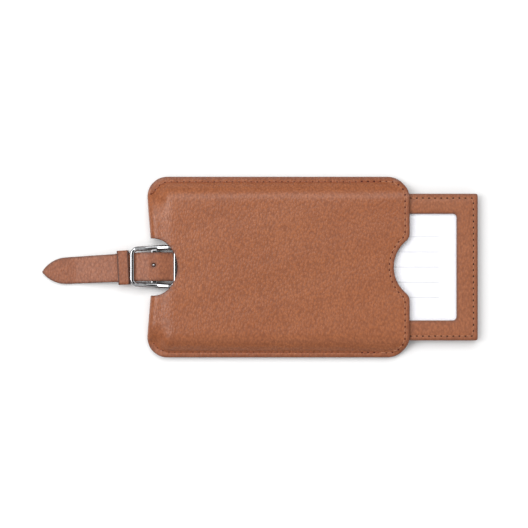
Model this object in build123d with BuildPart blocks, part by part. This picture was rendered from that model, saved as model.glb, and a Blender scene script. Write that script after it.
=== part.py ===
"""Leather luggage tag: a folded pocket, a windowed card holder that slides out of it, and a buckled strap.

Frame: +X runs along the tag towards the pocket's mouth, +Y across it, +Z up from the face it rests on.
The origin is the centre of the pocket's underside. All sizes are in millimetres.
"""
import os
from math import atan, cos, degrees, radians, sin, tan

from build123d import *

# Pocket
sleeve_length = 110.0
sleeve_width = 76.0
fold_height = 7.6
mouth_height = 6.6
panel = 1.2
lining = 0.3
flange_width = 2.9
fold_corner = (5.0, 5.0)
fold_corner_radii = (8.0, 8.0)
mouth_corner_radius = 9.0
strap_notch_radius = 12.0
strap_notch_x = -54.0
thumb_notch_radius = 14.2
thumb_notch_depth = 6.6
thumb_notch_blend = 4.0
pinch_angle = 30.0

# Stitching
stitch_inset = 2.1
thread_width = 0.6
thread_height = 0.13
seam_end_x = 43.0

# Card holder, drawn out of the mouth
insert_right = 83.7
insert_left = -8.0
insert_width = 61.5
insert_base = 1.8
insert_corner = 0.8
back_leather = 0.8
board = 0.4
insert_lining_thickness = 0.2
film = 0.25
front_leather = 0.9
insert_height = 3.0
rim = 2.4
board_gap = 0.3
window_right = 74.8
window_left = 4.0
window_width = 44.7
window_corner = 1.4
insert_stitch_inset = 1.9
card_length = 84.0
card_width = 54.0
card_thickness = 0.3

# Tab of the card holder, with the slot that the strap is looped through
tab_left = -21.5
tab_width = 34.0
tab_corner = 5.0
tab_base = 2.9
tab_ramp = (-10.5, -14.0)
slot_left = -19.0
slot_right = -16.3
slot_width = 13.2

# Strap
strap_width = 12.0
strap_y = 0.2
strap_leather_thickness = 0.8
strap_lining_thickness = 0.4
leg_gap = 0.1
tail_bend_x = -57.0
tail_yaw = 3.05
tail_length = 42.5
tail_point = 10.5
tail_point_width = 11.2
tip_reach_x = -99.4
short_leg_end_x = -68.2
tail_drop_x = -68.0
touchdown_x = -85.0
buckle_leg_base = 1.7
loop_centre = (-18.6, 3.35)
loop_radius = 1.75
strap_bend_radius = 5.0

# Buckle
buckle_x = -52.0
buckle_length = 20.2
buckle_width_tail = 16.8
buckle_width_pocket = 18.4
buckle_corner = 3.4
bar_width = 2.0
rail_width = 1.9
bar_thickness = 1.5
strap_rise = 1.5
centre_bar_width = 2.6
centre_bar_thickness = 1.3
peg_radius = 0.6
peg_height = 0.5
peg_hole_radius = 0.75
peg_y = 0.9

# Keeper loop
keeper_x = -64.85
keeper_length = 4.8
keeper_leather = 0.8
keeper_outer_width = 14.4
keeper_clearance = 0.1
keeper_slack = 0.5
staple_width = 5.0
staple_wire = 0.4

# Worked-out sizes
mouth_x = sleeve_length / 2
fold_x = -sleeve_length / 2
half_width = sleeve_width / 2
seam_height = 2 * panel
beyond = 20.0
strap_thickness = strap_leather_thickness + strap_lining_thickness
legs_thickness = 2 * strap_thickness + leg_gap
insert_top = insert_base + insert_height
front_base = insert_top - front_leather
board_base = insert_base + back_leather
insert_lining_base = board_base + board
insert_lining_top = insert_lining_base + insert_lining_thickness
centre_bar_top = buckle_leg_base + strap_rise - 0.05
end_bar_base = buckle_leg_base + legs_thickness + keeper_clearance
wedge_slope = (fold_height - mouth_height) / (sleeve_length - fold_height / 2)


def pocket_ceiling(x, inset):
    """Height of the pocket's sloping top at x, inset below its outer face."""
    return mouth_height - inset + (mouth_x - x) * wedge_slope


# Side and plan profiles of the pocket
def side_profile(inset):
    """The pocket seen from the side, closed by the rounded fold and open past the mouth."""
    centre_x = fold_x + fold_height / 2
    far_x = mouth_x + beyond
    with BuildSketch(Plane.XZ) as profile:
        with BuildLine():
            floor = Line((centre_x, inset), (far_x, inset))
            end = Line(floor @ 1, (far_x, pocket_ceiling(far_x, inset)))
            ceiling = Line(end @ 1, (centre_x, pocket_ceiling(centre_x, inset)))
            ThreePointArc(ceiling @ 1, (fold_x + inset, fold_height / 2), floor @ 0)
        make_face()
    return profile.sketch


def pillow_plan(inset):
    """Plan of the pillowed middle of the pocket: it runs past the fold and the mouth, inside the seams."""
    cut_x, cut_y = fold_corner
    corner_turn = degrees(atan(cut_y / cut_x))
    side_y = half_width - inset
    shoulder_x = fold_x + cut_x + inset * tan(radians(corner_turn / 2))
    slant_run = 18.0
    slant_drop = slant_run * tan(radians(corner_turn))
    with BuildSketch() as plan:
        with BuildLine():
            Polyline(
                (mouth_x + beyond, side_y),
                (shoulder_x, side_y),
                (shoulder_x - slant_run, side_y - slant_drop),
                (shoulder_x - slant_run, slant_drop - side_y),
                (shoulder_x, -side_y),
                (mouth_x + beyond, -side_y),
                close=True,
            )
        make_face()
    return plan.sketch


with BuildSketch() as sleeve_outline:
    with BuildLine():
        cut_x, cut_y = fold_corner
        FilletPolyline(
            (mouth_x, half_width),
            (fold_x + cut_x, half_width),
            (fold_x, half_width - cut_y),
            (fold_x, cut_y - half_width),
            (fold_x + cut_x, -half_width),
            (mouth_x, -half_width),
            radius=[mouth_corner_radius, *fold_corner_radii, *reversed(fold_corner_radii), mouth_corner_radius],
            close=True,
        )
    make_face()
    with Locations((strap_notch_x, 0)):
        Circle(strap_notch_radius, mode=Mode.SUBTRACT)
    with Locations((mouth_x - thumb_notch_depth + thumb_notch_radius, 0)):
        Circle(thumb_notch_radius, mode=Mode.SUBTRACT)
    notch_ends = sleeve_outline.vertices().group_by(Axis.X)[-1].sort_by(lambda v: abs(v.Y))[:2]
    fillet(notch_ends, thumb_notch_blend)

with BuildSketch() as stitch_row:
    offset(sleeve_outline.sketch, -(stitch_inset - thread_width / 2), mode=Mode.ADD)
    offset(sleeve_outline.sketch, -(stitch_inset + thread_width / 2), mode=Mode.SUBTRACT)


def row_part(low, high):
    """The stretch of the pocket's stitch row inside a plan rectangle, given by two opposite corners."""
    with BuildSketch() as stretch:
        add(stitch_row.sketch)
        with Locations(((low[0] + high[0]) / 2, (low[1] + high[1]) / 2)):
            Rectangle(high[0] - low[0], high[1] - low[1], mode=Mode.INTERSECT)
    return stretch.sketch


seam_start_y = half_width - fold_corner[1] - 1.0
top_seam_row = row_part((fold_x, seam_start_y), (seam_end_x, half_width))
bottom_seam_row = row_part((fold_x, -half_width), (seam_end_x, -seam_start_y))
flat_half_width = 31.0
mouth_row = row_part((seam_end_x, -flat_half_width), (mouth_x, flat_half_width))

# Stitched runs on the pocket: the lower run of each lies flush in the underside
with BuildPart() as top_seam_thread:
    extrude(top_seam_row, amount=thread_height)
    with BuildSketch(Plane.XY.offset(seam_height)):
        add(top_seam_row)
    extrude(amount=thread_height)

with BuildPart() as bottom_seam_thread:
    extrude(bottom_seam_row, amount=thread_height)
    with BuildSketch(Plane.XY.offset(seam_height)):
        add(bottom_seam_row)
    extrude(amount=thread_height)

with BuildPart() as mouth_back_thread:
    extrude(mouth_row, amount=thread_height)

with BuildPart() as mouth_front_thread:
    extrude(side_profile(-thread_height), amount=sleeve_width, both=True)
    extrude(side_profile(0), amount=sleeve_width, both=True, mode=Mode.SUBTRACT)
    with BuildSketch(Plane.XY.offset(seam_height)):
        add(mouth_row)
    extrude(amount=fold_height, mode=Mode.INTERSECT)

# Pocket leather: a stitched flange round a pillow that holds the card holder
with BuildPart() as pillow:
    with BuildSketch(Plane.XY.offset(seam_height)):
        add(pillow_plan(flange_width))
    extrude(amount=fold_height, taper=pinch_angle)

with BuildPart() as pocket:
    with BuildSketch(Plane.XY.offset(panel)):
        add(pillow_plan(flange_width + 0.7))
    extrude(amount=fold_height, taper=pinch_angle)
    extrude(side_profile(panel), amount=sleeve_width, both=True, mode=Mode.INTERSECT)

with BuildPart() as sleeve_shell:
    extrude(sleeve_outline.sketch, amount=seam_height)
    add(pillow.part)
    extrude(sleeve_outline.sketch, amount=2 * fold_height, mode=Mode.INTERSECT)
    extrude(side_profile(0), amount=sleeve_width, both=True, mode=Mode.INTERSECT)
    add(pocket.part, mode=Mode.SUBTRACT)
    for row in (top_seam_row, bottom_seam_row, mouth_row):
        extrude(row, amount=thread_height, mode=Mode.SUBTRACT)

lining_left = -51.0
lining_length = mouth_x - 1.0 - lining_left
with BuildSketch() as lining_plan:
    with Locations((lining_left + lining_length / 2, 0)):
        Rectangle(lining_length, 2 * flat_half_width)
    add(sleeve_outline.sketch, mode=Mode.INTERSECT)

with BuildPart() as sleeve_back_lining:
    with BuildSketch(Plane.XY.offset(panel)):
        add(lining_plan.sketch)
    extrude(amount=lining)
    add(pocket.part, mode=Mode.INTERSECT)

with BuildPart() as sleeve_front_lining:
    extrude(side_profile(panel), amount=sleeve_width, both=True)
    extrude(side_profile(panel + lining), amount=sleeve_width, both=True, mode=Mode.SUBTRACT)
    with BuildSketch(Plane.XY.offset(seam_height)):
        add(lining_plan.sketch)
    extrude(amount=fold_height, mode=Mode.INTERSECT)
    add(pocket.part, mode=Mode.INTERSECT)

# Card holder
insert_length = insert_right - insert_left
insert_middle = insert_left + insert_length / 2
with BuildSketch() as insert_outline:
    with Locations((insert_middle, 0)):
        RectangleRounded(insert_length, insert_width, insert_corner)

with BuildSketch() as insert_pocket_plan:
    with Locations((insert_middle - rim / 2, 0)):
        Rectangle(insert_length - rim, insert_width - 2 * rim)

with BuildPart() as insert_back:
    with BuildSketch(Plane.XZ):
        with BuildLine():
            ramp_low, ramp_high = tab_ramp
            Polyline(
                (insert_right, insert_base),
                (insert_right, insert_base + back_leather),
                (ramp_low, insert_base + back_leather),
                (ramp_high, tab_base + back_leather),
                (tab_left, tab_base + back_leather),
                (tab_left, tab_base),
                (ramp_high, tab_base),
                (ramp_low, insert_base),
                close=True,
            )
        make_face()
    extrude(amount=insert_width, both=True)
    with BuildSketch():
        add(insert_outline.sketch)
        with Locations(((tab_left + insert_left) / 2 + tab_corner, 0)):
            RectangleRounded(insert_left - tab_left + 2 * tab_corner, tab_width, tab_corner)
    extrude(amount=insert_top, mode=Mode.INTERSECT)
    with BuildSketch():
        with Locations(((slot_left + slot_right) / 2, strap_y)):
            Rectangle(slot_right - slot_left, slot_width)
    extrude(amount=insert_top, mode=Mode.SUBTRACT)

with BuildPart() as insert_stiffener:
    with BuildSketch(Plane.XY.offset(board_base)):
        offset(insert_pocket_plan.sketch, -board_gap, kind=Kind.INTERSECTION, mode=Mode.ADD)
    extrude(amount=board)

with BuildPart() as insert_lining:
    with BuildSketch(Plane.XY.offset(insert_lining_base)):
        offset(insert_pocket_plan.sketch, -board_gap, kind=Kind.INTERSECTION, mode=Mode.ADD)
    extrude(amount=insert_lining_thickness)

window_length = window_right - window_left
window_centre = (window_left + window_length / 2, 0)
with BuildPart() as insert_front:
    with BuildSketch(Plane.XY.offset(board_base)):
        add(insert_outline.sketch)
    extrude(amount=insert_top - board_base)
    with BuildSketch(Plane.XY.offset(board_base)):
        add(insert_pocket_plan.sketch)
    extrude(amount=front_base - board_base, mode=Mode.SUBTRACT)
    with BuildSketch(Plane.XY.offset(front_base)):
        with Locations(window_centre):
            RectangleRounded(window_length, window_width, window_corner)
    extrude(amount=front_leather, mode=Mode.SUBTRACT)

film_margin = 2.6
with BuildPart() as window_film:
    with BuildSketch(Plane.XY.offset(front_base - film)):
        with Locations(window_centre):
            RectangleRounded(window_length + 2 * film_margin, window_width + 2 * film_margin, window_corner)
    extrude(amount=film)

with BuildSketch() as insert_stitch_row:
    offset(
        insert_outline.sketch,
        -(insert_stitch_inset - thread_width / 2),
        kind=Kind.INTERSECTION,
        mode=Mode.ADD,
    )
    offset(
        insert_outline.sketch,
        -(insert_stitch_inset + thread_width / 2),
        kind=Kind.INTERSECTION,
        mode=Mode.SUBTRACT,
    )
    with Locations((insert_left, 0)):
        Rectangle(2 * (insert_stitch_inset + thread_width), insert_width, mode=Mode.SUBTRACT)

with BuildPart() as insert_seam_thread:
    with BuildSketch(Plane.XY.offset(insert_top)):
        add(insert_stitch_row.sketch)
    extrude(amount=thread_height)
    with BuildSketch(Plane.XY.offset(insert_base - thread_height)):
        add(insert_stitch_row.sketch)
    extrude(amount=thread_height)

card_right = insert_right - rim - board_gap
card_base = insert_lining_top + 0.05
with BuildPart() as id_card:
    with BuildSketch(Plane.XY.offset(card_base)):
        with Locations((card_right - card_length / 2, 0)):
            RectangleRounded(card_length, card_width, insert_corner)
    extrude(amount=card_thickness)

# Strap: one piece looped through the tab's slot, with both legs led out to the buckle
yaw = radians(tail_yaw)
tail_direction = Vector(-cos(yaw), -sin(yaw), 0)
tail_plane = Plane(origin=(tail_bend_x, strap_y, -1), x_dir=tail_direction, z_dir=(0, 0, 1))
bar_inner_left = buckle_x - buckle_length / 2 + bar_width
bar_inner_right = buckle_x + buckle_length / 2 - bar_width
crown_half = 2.6
crown_start = 0.9


def leg_line(rise, slot_height):
    """Points of one leg from the buckle to the slot: rise is counted from the lower leg's underside."""
    low = buckle_leg_base + rise
    return [
        (bar_inner_left + crown_start, low),
        (buckle_x - crown_half, low + strap_rise),
        (buckle_x + crown_half, low + strap_rise),
        (bar_inner_right - crown_start, low),
        (bar_inner_right + bar_width, low),
        (tab_left - 1.5, slot_height),
        (loop_centre[0], slot_height),
    ]


def strap_layer(outer_depth, inner_depth):
    """One layer of the looped strap seen from the side, between two depths below its outer surface."""
    with BuildSketch(Plane.XZ) as layer:
        with BuildLine():
            ends = []
            for depth in (outer_depth, inner_depth):
                radius = loop_radius - depth
                lower = leg_line(depth, loop_centre[1] - radius)
                upper = leg_line(legs_thickness - depth, loop_centre[1] + radius)
                lower.insert(0, (short_leg_end_x, lower[0][1]))
                upper.insert(0, (tail_drop_x, upper[0][1]))
                upper.insert(0, (touchdown_x, strap_thickness - depth))
                upper.insert(0, (tip_reach_x - 1.0, strap_thickness - depth))
                short_leg = FilletPolyline(*lower, radius=strap_bend_radius)
                long_leg = FilletPolyline(*upper, radius=strap_bend_radius)
                ThreePointArc(short_leg @ 1, (loop_centre[0] + radius, loop_centre[1]), long_leg @ 1)
                ends.append((short_leg @ 0, long_leg @ 0))
            for start, end in zip(*ends):
                Line(start, end)
        make_face()
    return layer.sketch


with BuildPart() as strap_plan:
    with BuildSketch(Plane.XY.offset(-1)):
        with Locations((tail_bend_x / 2, strap_y)):
            Rectangle(-tail_bend_x, strap_width)
    extrude(amount=10)
    with BuildSketch(tail_plane):
        with BuildLine():
            shoulder = tail_length - tail_point
            side_end = strap_width / 2
            point_side = tail_point_width / 2
            Line((-0.3, -side_end), (shoulder, -point_side))
            TangentArc((shoulder, -point_side), (tail_length, 0), tangent=(1, 0))
            TangentArc((shoulder, point_side), (tail_length, 0), tangent=(1, 0))
            Line((shoulder, point_side), (-0.3, side_end))
            Line((-0.3, side_end), (-0.3, -side_end))
        make_face()
    extrude(amount=10)

with BuildPart() as strap_leather:
    extrude(strap_layer(0, strap_leather_thickness), amount=strap_width, both=True)
    add(strap_plan.part, mode=Mode.INTERSECT)
    with Locations((buckle_x, peg_y, fold_height)):
        Hole(peg_hole_radius)

with BuildPart() as strap_lining:
    extrude(strap_layer(strap_leather_thickness, strap_thickness), amount=strap_width, both=True)
    add(strap_plan.part, mode=Mode.INTERSECT)
    with Locations((buckle_x, peg_y, fold_height)):
        Hole(peg_hole_radius)


# Buckle: an arched frame whose ends hold the strap down over a low centre bar
def buckle_plan(inset_x, inset_y, radius):
    """Plan of the buckle's outline, a little wider towards the pocket, inset on all sides."""
    half_length = buckle_length / 2 - inset_x
    tail_half = buckle_width_tail / 2 - inset_y
    pocket_half = buckle_width_pocket / 2 - inset_y
    with BuildSketch() as plan:
        with BuildLine():
            FilletPolyline(
                (buckle_x - half_length, strap_y - tail_half),
                (buckle_x - half_length, strap_y + tail_half),
                (buckle_x + half_length, strap_y + pocket_half),
                (buckle_x + half_length, strap_y - pocket_half),
                radius=radius,
                close=True,
            )
        make_face()
    return plan.sketch


frame_low = centre_bar_top - centre_bar_thickness
arch_half = buckle_length / 2 - bar_width
arch_left = Vector(buckle_x - arch_half, end_bar_base)
arch_right = Vector(buckle_x + arch_half, end_bar_base)
bar_step = Vector(bar_width, 0)
bar_rise = Vector(0, bar_thickness)
with BuildPart() as buckle_frame:
    with BuildSketch(Plane.XZ):
        with BuildLine():
            ThreePointArc(arch_left, (buckle_x, frame_low), arch_right)
            Polyline(arch_right, arch_right + bar_step, arch_right + bar_step + bar_rise, arch_right + bar_rise)
            ThreePointArc(arch_right + bar_rise, (buckle_x, frame_low + bar_thickness), arch_left + bar_rise)
            Polyline(arch_left + bar_rise, arch_left - bar_step + bar_rise, arch_left - bar_step, arch_left)
        make_face()
    extrude(amount=buckle_width_pocket, both=True)
    with BuildSketch():
        add(buckle_plan(0, 0, buckle_corner))
        add(buckle_plan(bar_width, rail_width, buckle_corner - bar_width + 0.6), mode=Mode.SUBTRACT)
    extrude(amount=2 * fold_height, mode=Mode.INTERSECT)
    with BuildSketch(Plane.XY.offset(frame_low)):
        with Locations((buckle_x, strap_y)):
            Rectangle(centre_bar_width, (buckle_width_tail + buckle_width_pocket) / 2 - rail_width)
    extrude(amount=centre_bar_thickness)
    with Locations((buckle_x, peg_y, centre_bar_top)):
        Hole(peg_radius, depth=2 * centre_bar_thickness)

peg_top = buckle_leg_base + strap_rise + legs_thickness + peg_height
with BuildPart() as buckle_peg:
    with BuildSketch(Plane.XY.offset(frame_low)):
        with Locations((buckle_x, peg_y)):
            Circle(peg_radius)
    extrude(amount=peg_top - frame_low)
    fillet(buckle_peg.faces().sort_by(Axis.Z)[-1].edges(), peg_radius * 0.8)

# Keeper loop round both legs, square to the tail
keeper_inner_height = legs_thickness + keeper_clearance + keeper_slack
keeper_outer_height = keeper_inner_height + 2 * keeper_leather
keeper_inner_width = keeper_outer_width - 2 * keeper_leather
keeper_ceiling = buckle_leg_base + legs_thickness + keeper_clearance
keeper_centre = Vector(
    keeper_x,
    strap_y - (tail_bend_x - keeper_x) * tan(yaw),
    keeper_ceiling - keeper_inner_height / 2,
)
keeper_across = Vector(-sin(yaw), cos(yaw), 0)
keeper_plane = Plane(origin=keeper_centre, x_dir=keeper_across, z_dir=tail_direction)

with BuildPart() as keeper_staple:
    crown_y = keeper_outer_height / 2 - staple_wire / 2
    with BuildSketch(keeper_plane):
        with Locations((0, crown_y)):
            Rectangle(staple_width, staple_wire)
        with Locations((-staple_width / 2, 0), (staple_width / 2, 0)):
            with Locations((0, keeper_outer_height / 2 - keeper_leather / 2)):
                Rectangle(staple_wire, keeper_leather)
    extrude(amount=staple_wire / 2, both=True)

with BuildPart() as keeper_loop:
    with BuildSketch(keeper_plane):
        RectangleRounded(keeper_outer_width, keeper_outer_height, 1.1)
        RectangleRounded(keeper_inner_width, keeper_inner_height, 0.3, mode=Mode.SUBTRACT)
    extrude(amount=keeper_length / 2, both=True)
    add(keeper_staple.part, mode=Mode.SUBTRACT)

pieces = {
    "sleeve_shell": sleeve_shell,
    "sleeve_front_lining": sleeve_front_lining,
    "sleeve_back_lining": sleeve_back_lining,
    "top_seam_thread": top_seam_thread,
    "bottom_seam_thread": bottom_seam_thread,
    "mouth_front_thread": mouth_front_thread,
    "mouth_back_thread": mouth_back_thread,
    "insert_back": insert_back,
    "insert_stiffener": insert_stiffener,
    "insert_lining": insert_lining,
    "insert_front": insert_front,
    "window_film": window_film,
    "insert_seam_thread": insert_seam_thread,
    "id_card": id_card,
    "strap_leather": strap_leather,
    "strap_lining": strap_lining,
    "buckle_frame": buckle_frame,
    "buckle_peg": buckle_peg,
    "keeper_loop": keeper_loop,
    "keeper_staple": keeper_staple,
}

os.makedirs("parts", exist_ok=True)
for name, piece in pieces.items():
    piece.part.label = name
    export_step(piece.part, f"parts/{name}.step")
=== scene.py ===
"""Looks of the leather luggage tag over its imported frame. Shapes are worked out in millimetres."""
import math
import random

import bmesh
import bpy
import numpy as np
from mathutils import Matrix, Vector
from mathutils.geometry import delaunay_2d_cdt


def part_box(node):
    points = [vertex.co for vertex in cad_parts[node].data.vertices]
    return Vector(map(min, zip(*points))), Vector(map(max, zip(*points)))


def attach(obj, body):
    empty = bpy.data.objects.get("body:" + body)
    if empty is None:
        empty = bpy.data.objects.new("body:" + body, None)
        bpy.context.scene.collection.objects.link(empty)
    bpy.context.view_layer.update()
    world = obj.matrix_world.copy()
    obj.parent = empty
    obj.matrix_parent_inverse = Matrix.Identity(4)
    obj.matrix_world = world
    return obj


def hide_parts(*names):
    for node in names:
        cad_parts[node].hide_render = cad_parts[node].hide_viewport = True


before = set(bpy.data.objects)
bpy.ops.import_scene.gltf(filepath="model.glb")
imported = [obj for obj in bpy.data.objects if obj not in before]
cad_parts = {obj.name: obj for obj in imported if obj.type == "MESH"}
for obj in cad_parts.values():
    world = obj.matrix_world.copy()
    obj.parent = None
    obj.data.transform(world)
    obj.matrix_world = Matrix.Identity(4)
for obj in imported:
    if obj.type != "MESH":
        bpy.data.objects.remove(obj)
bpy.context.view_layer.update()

MM = 0.001
EDGE = "edge"
random.seed(7)


def box_mm(node):
    """Lowest and highest corner of a CAD node in millimetres."""
    low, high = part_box(node)
    return np.array(low) / MM, np.array(high) / MM


# Sizes read from the frame
shell_low, shell_high = box_mm("sleeve_shell")
FOLD_X, MOUTH_X = shell_low[0], shell_high[0]
HALF_Y = shell_high[1]
front_low, front_high = box_mm("insert_front")
back_low = box_mm("insert_back")[0]
film_low, film_high = box_mm("window_film")
buckle_low, buckle_high = box_mm("buckle_frame")
keeper_low, keeper_high = box_mm("keeper_loop")
strap_low = box_mm("strap_leather")[0]
peg_low, peg_high = box_mm("buckle_peg")

# Pocket
SEAM_HEIGHT = 2.4
FOLD_HEIGHT = shell_high[2] - 0.1
MOUTH_HEIGHT = 6.55
LEATHER = 1.17
LINING = 0.26
LINING_HALF = 29.4
LINING_MARGIN = 1.0
LINING_START = 6.0
MOUTH_INSET = 2.05
CORNER_CUT = 5.0
CORNER_RADIUS = 8.0
MOUTH_CORNER = 9.0
NOTCH_X, NOTCH_RADIUS = -54.0, 12.0
THUMB_RADIUS, THUMB_DEPTH, THUMB_BLEND = 14.2, 6.6, 4.0
# Flat length of half the fold's turn, its height as a share of the panel's, and the blend between them
HALF_ARC = 5.9
FOLD_SHARE = 0.9
FOLD_RUN = 8.0
LEAN_SLOPE, LEAN_START, LEAN_SPAN, LEAN_RUN = 0.085, 30, 18, 14.0
PINCH_RUN = 7.6
SEAM_END_X = 43.0
PITCH = 2.56
GROOVE_DEPTH, GROOVE_WIDTH = 0.12, 0.4

# Card holder
WINDOW_MARGIN = 2.6
RIM, RIM_STEP, RIM_RADIUS = 2.4, 0.12, 0.12
PLY_GAP = 0.01
INSERT_INSET = 1.9
# Depth of the stitched groove in the front and in the back leather, and its width
HOLDER_GROOVE = (0.2, 0.18, 0.5)
TAB_RAMP, TAB_LIFT = (-10.5, -14.0), 1.1
TAB_HALF = 17.0
TAB_CORNER = 5.0
SLOT = (-19.0, -16.3)
SLOT_HALF = 6.6

# Strap, buckle and keeper
STRAP_Y = 0.2
STRAP_WIDTH = 12.0
TAIL_LENGTH = 42.5
POINT, POINT_WIDTH = 10.5, 11.2
STRAP_LEATHER = 0.8
STRAP_BACKING = 0.4
LOOP_X, LOOP_Z, LOOP_RADIUS = -18.6, 3.35, 1.75
TAIL_YAW = math.radians(3.05)
TAIL_BEND = (-55.0, -59.0)
BUCKLE_X = -52.0
BAR, RAIL, BAR_HEIGHT = 2.0, 1.9, 1.5
PEG_HOLE = 0.75


# Plan and path helpers
def arc(centre, radius, start, end, step=0.6):
    """Points of an arc between two angles in degrees."""
    count = max(3, int(abs(math.radians(end - start)) * radius / step) + 1)
    angles = np.radians(np.linspace(start, end, count))
    return np.column_stack((centre[0] + radius * np.cos(angles), centre[1] + radius * np.sin(angles)))


def join(*lines):
    """One line from several, without doubled points."""
    line = np.vstack([np.asarray(part, float).reshape(-1, 2) for part in lines])
    keep = np.r_[True, np.hypot(*np.diff(line, axis=0).T) > 1e-4]
    return line[keep]


def divide(line, step, closed=False):
    """The same line with extra points on its long stretches."""
    ends = np.roll(line, -1, 0) if closed else line[1:]
    parts = []
    for start, end in zip(line, ends):
        count = max(1, int(np.ceil(np.hypot(*(end - start)) / step)))
        parts.append(start + (end - start) * np.arange(count)[:, None] / count)
    if not closed:
        parts.append(line[-1:])
    return np.vstack(parts)


def rounded(corners, radii, step=0.6, closed=False):
    """A line through corners, each turned with an arc of its own radius."""
    corners = [np.array(c, float) for c in corners]
    count = len(corners)
    out = []
    for i, (corner, radius) in enumerate(zip(corners, radii)):
        if radius == 0 or (not closed and i in (0, count - 1)):
            out.append(corner)
            continue
        before = corner - corners[i - 1]
        after = corners[(i + 1) % count] - corner
        before /= np.hypot(*before)
        after /= np.hypot(*after)
        turn = math.acos(np.clip(before @ after, -1, 1))
        side = np.sign(before[0] * after[1] - before[1] * after[0])
        start = corner - before * radius * math.tan(turn / 2)
        centre = start + side * radius * np.array((-before[1], before[0]))
        first = math.degrees(math.atan2(*(start - centre)[::-1]))
        out.extend(arc(centre, radius, first, first + side * math.degrees(turn), step))
    return join(out)


def rounded_box(low, high, radius, step=0.6):
    """Closed plan rectangle with rounded corners."""
    corners = [(low[0], low[1]), (high[0], low[1]), (high[0], high[1]), (low[0], high[1])]
    return rounded(corners, [radius] * 4, step, closed=True)


def turned(ring, hole=False):
    """The ring run so that the material lies on its left."""
    x, y = ring.T
    area = np.sum(x * np.roll(y, -1) - y * np.roll(x, -1))
    return ring[::-1] if (area > 0) == hole else ring


def inset(ring, distance, closed=True):
    """The line moved to its left by a distance."""
    if closed:
        step_in = ring - np.roll(ring, 1, 0)
        step_out = np.roll(ring, -1, 0) - ring
    else:
        steps = np.diff(ring, axis=0)
        step_in = np.vstack((steps[:1], steps))
        step_out = np.vstack((steps, steps[-1:]))
    step_in = step_in / np.hypot(*step_in.T)[:, None]
    step_out = step_out / np.hypot(*step_out.T)[:, None]
    normal_in = np.column_stack((-step_in[:, 1], step_in[:, 0]))
    normal_out = np.column_stack((-step_out[:, 1], step_out[:, 0]))
    share = np.maximum(1 + (normal_in * normal_out).sum(1), 0.6)
    return ring + distance * (normal_in + normal_out) / share[:, None]


def is_inside(points, ring):
    """Which points lie inside a closed ring."""
    result = []
    ends = np.roll(ring, -1, 0)
    for part in np.array_split(points, max(1, len(points) // 3000)):
        x, y = part[:, :1], part[:, 1:]
        spans = (ring[:, 1] > y) != (ends[:, 1] > y)
        rise = ends[:, 1] - ring[:, 1]
        rise = np.where(np.abs(rise) < 1e-12, 1e-12, rise)
        cut = (ends[:, 0] - ring[:, 0]) * (y - ring[:, 1]) / rise + ring[:, 0]
        result.append((spans & (x < cut)).sum(1) % 2 == 1)
    return np.concatenate(result)


def distance_to(points, line, closed=True):
    """Distance of each point from a line."""
    starts = line if closed else line[:-1]
    ends = np.roll(line, -1, 0) if closed else line[1:]
    along = ends - starts
    length = np.maximum((along ** 2).sum(1), 1e-12)
    result = []
    for part in np.array_split(points, max(1, len(points) // 3000)):
        offset = part[:, None, :] - starts
        share = np.clip((offset * along).sum(2) / length, 0, 1)
        gap = offset - share[:, :, None] * along
        result.append(np.sqrt((gap ** 2).sum(2).min(1)))
    return np.concatenate(result)


def nearest(points, others):
    """Distance of each point from the nearest of some others."""
    result = []
    for part in np.array_split(points, max(1, len(points) // 2000)):
        result.append(np.sqrt(((part[:, None, :] - others) ** 2).sum(2).min(1)))
    return np.concatenate(result)


def smooth(value):
    """Rises smoothly from 0 to 1."""
    value = np.clip(value, 0, 1)
    return value * value * (3 - 2 * value)


class Solid:
    """Points and faces of a piece made of one or more closed shells."""

    def __init__(self):
        self.points, self.faces, self.edges, self.count = [], [], [], 0

    def add(self, points, faces, edge=0.0):
        """Adds a closed shell. edge marks cut edges, from 0 to 1 at each point."""
        points = np.asarray(points, float)
        self.points.append(points)
        self.edges.append(np.broadcast_to(edge, len(points)).astype(float))
        self.faces.extend([tuple(int(i) + self.count for i in face) for face in faces])
        self.count += len(points)

    def piece(self, name, material, body, slot, *nodes):
        """The finished piece, riding its body and standing for its CAD nodes."""
        mesh = bpy.data.meshes.new(name)
        mesh.from_pydata((np.vstack(self.points) * MM).tolist(), [], self.faces)
        work = bmesh.new()
        work.from_mesh(mesh)
        bmesh.ops.recalc_face_normals(work, faces=work.faces)
        work.to_mesh(mesh)
        work.free()
        mesh.attributes.new(EDGE, "FLOAT", "POINT").data.foreach_set(
            "value", np.concatenate(self.edges).astype(np.float32)
        )
        mesh.polygons.foreach_set("use_smooth", [True] * len(mesh.polygons))
        mesh.materials.append(material)
        obj = bpy.data.objects.new(name, mesh)
        bpy.context.scene.collection.objects.link(obj)
        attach(obj, body)
        if nodes:
            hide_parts(*nodes)
        return obj


def edge_levels(thickness, radius, steps=4):
    """Inset, depth and edge mark of each level round a cut edge, from the top face down."""
    turns = np.radians(np.linspace(90, 0, steps + 1))
    top = [(radius * (1 - math.cos(t)), radius * (1 - math.sin(t)), math.cos(t)) for t in turns]
    bottom = [(step, thickness - depth, mark) for step, depth, mark in reversed(top)]
    return top + [(0.0, thickness / 2, 1.0)] + bottom


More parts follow.
